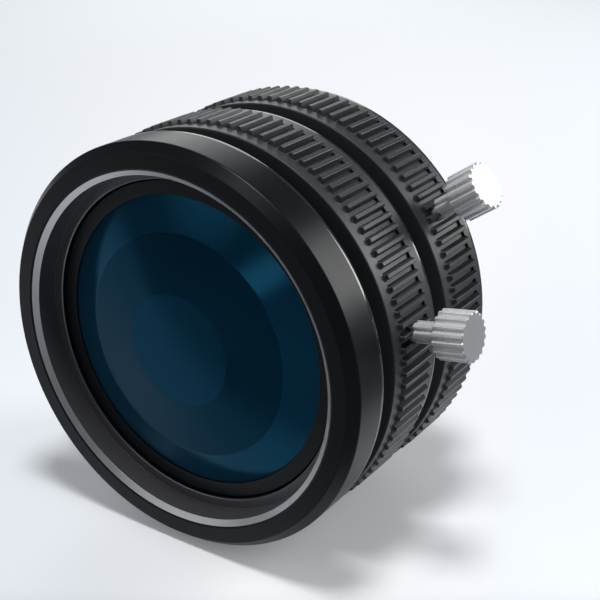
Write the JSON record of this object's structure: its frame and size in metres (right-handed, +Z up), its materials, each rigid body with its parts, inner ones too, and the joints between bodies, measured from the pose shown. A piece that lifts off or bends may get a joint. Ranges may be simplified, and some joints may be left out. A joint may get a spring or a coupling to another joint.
{
  "type": "c-mount lens",
  "caption": "Manual camera lens with a threaded rear mount, a bevelled front rim around domed glass, knurled focus and iris rings, and thumbscrews that lock the rings.",
  "frame": {"origin": "on the optical axis, in the plane of the mount's shoulder, which seats on the camera", "axes": "+Y along the optical axis toward the camera, so the front glass faces -Y; +Z up as pictured; both thumbscrews on the +X side"},
  "size_m": [0.0359, 0.0237, 0.0316],
  "materials": {
    "black_aluminium": "satin black anodised",
    "blackened_steel": "matt black",
    "optical_glass": "coated",
    "brass": "machined",
    "bright_screw": "bright nickel plated"
  },
  "bodies": {
    "mount_body": {"main_barrel": "black_aluminium", "barrel_collar": "black_aluminium", "collar_set_screws": "blackened_steel", "focus_retaining_ring": "black_aluminium"},
    "focus_group": {"focus_ring": "black_aluminium"},
    "optical_unit": {"front_barrel": "black_aluminium", "front_retaining_ring": "black_aluminium", "front_element": "optical_glass", "front_spacer": "black_aluminium", "second_element": "optical_glass", "third_element": "optical_glass", "iris_housing": "black_aluminium", "iris_base_plate": "blackened_steel", "rear_cell": "black_aluminium", "fourth_element": "optical_glass", "fifth_element": "optical_glass", "rear_spacer": "black_aluminium", "rear_element": "optical_glass", "rear_retaining_ring": "black_aluminium", "follower_pins": "brass"},
    "iris_group": {"iris_ring": "black_aluminium", "iris_drive_pin": "blackened_steel"},
    "iris_actuator": {"iris_actuator_ring": "blackened_steel"},
    "focus_pad": {"focus_lock_pad": "brass"},
    "focus_screw": {"focus_lock_screw": "bright_screw"},
    "iris_pad": {"iris_lock_pad": "brass"},
    "iris_screw": {"iris_lock_screw": "bright_screw"},
    "blade_1": {"iris_blade_1": "blackened_steel"},
    "blade_2": {"iris_blade_2": "blackened_steel"},
    "blade_3": {"iris_blade_3": "blackened_steel"},
    "blade_4": {"iris_blade_4": "blackened_steel"},
    "blade_5": {"iris_blade_5": "blackened_steel"},
    "blade_6": {"iris_blade_6": "blackened_steel"}
  },
  "joints": [
    {"name": "focus_turn", "type": "hinge", "parent": "mount_body", "child": "focus_group", "pos_m": [0, -0.01137, 0], "axis": [0, -1, 0], "range_deg": [0, 90]},
    {"name": "focus_travel", "type": "slide", "parent": "mount_body", "child": "optical_unit", "axis": [0, -1, 0], "range_m": [0, 0.0012]},
    {"name": "iris_turn", "type": "hinge", "parent": "mount_body", "child": "iris_group", "pos_m": [0, -0.00379, 0], "axis": [0, -1, 0], "range_deg": [0, 50]},
    {"name": "actuator_turn", "type": "hinge", "parent": "optical_unit", "child": "iris_actuator", "pos_m": [0, -0.0047, 0], "axis": [0, -1, 0], "range_deg": [0, 50]},
    {"name": "blade_1_swing", "type": "hinge", "parent": "optical_unit", "child": "blade_1", "pos_m": [0.0097, -0.006, 0], "axis": [0, -1, 0], "range_deg": [0, 26.8]},
    {"name": "blade_2_swing", "type": "hinge", "parent": "optical_unit", "child": "blade_2", "pos_m": [0.00485, -0.00584, 0.0084], "axis": [0, -1, 0], "range_deg": [0, 26.8]},
    {"name": "blade_3_swing", "type": "hinge", "parent": "optical_unit", "child": "blade_3", "pos_m": [-0.00485, -0.00568, 0.0084], "axis": [0, -1, 0], "range_deg": [0, 26.8]},
    {"name": "blade_4_swing", "type": "hinge", "parent": "optical_unit", "child": "blade_4", "pos_m": [-0.0097, -0.00552, 0], "axis": [0, -1, 0], "range_deg": [0, 26.8]},
    {"name": "blade_5_swing", "type": "hinge", "parent": "optical_unit", "child": "blade_5", "pos_m": [-0.00485, -0.00536, -0.0084], "axis": [0, -1, 0], "range_deg": [0, 26.8]},
    {"name": "blade_6_swing", "type": "hinge", "parent": "optical_unit", "child": "blade_6", "pos_m": [0.00485, -0.0052, -0.0084], "axis": [0, -1, 0], "range_deg": [0, 26.8]},
    {"name": "focus_pad_travel", "type": "slide", "parent": "focus_group", "child": "focus_pad", "axis": [0.9856, 0, 0.1693], "range_m": [0, 0.000525]},
    {"name": "focus_screw_turn", "type": "hinge", "parent": "focus_pad", "child": "focus_screw", "pos_m": [0.01528, -0.01137, 0.00262], "axis": [0.9856, 0, 0.1693], "range_deg": [0, 540]},
    {"name": "iris_pad_travel", "type": "slide", "parent": "iris_group", "child": "iris_pad", "axis": [0.8206, 0, 0.5716], "range_m": [0, 0.000525]},
    {"name": "iris_screw_turn", "type": "hinge", "parent": "iris_pad", "child": "iris_screw", "pos_m": [0.01272, -0.00379, 0.00886], "axis": [0.8206, 0, 0.5716], "range_deg": [0, 540]}
  ],
  "couplings": [
    {"joint": "focus_turn", "follows": "focus_travel", "rad_per_m": 1309},
    {"joint": "actuator_turn", "follows": "iris_turn", "ratio": 1},
    {"joint": "blade_1_swing", "follows": "iris_turn", "ratio": 0.536},
    {"joint": "blade_2_swing", "follows": "iris_turn", "ratio": 0.536},
    {"joint": "blade_3_swing", "follows": "iris_turn", "ratio": 0.536},
    {"joint": "blade_4_swing", "follows": "iris_turn", "ratio": 0.536},
    {"joint": "blade_5_swing", "follows": "iris_turn", "ratio": 0.536},
    {"joint": "blade_6_swing", "follows": "iris_turn", "ratio": 0.536},
    {"joint": "focus_screw_turn", "follows": "focus_pad_travel", "rad_per_m": 17952},
    {"joint": "iris_screw_turn", "follows": "iris_pad_travel", "rad_per_m": 17952}
  ]
}
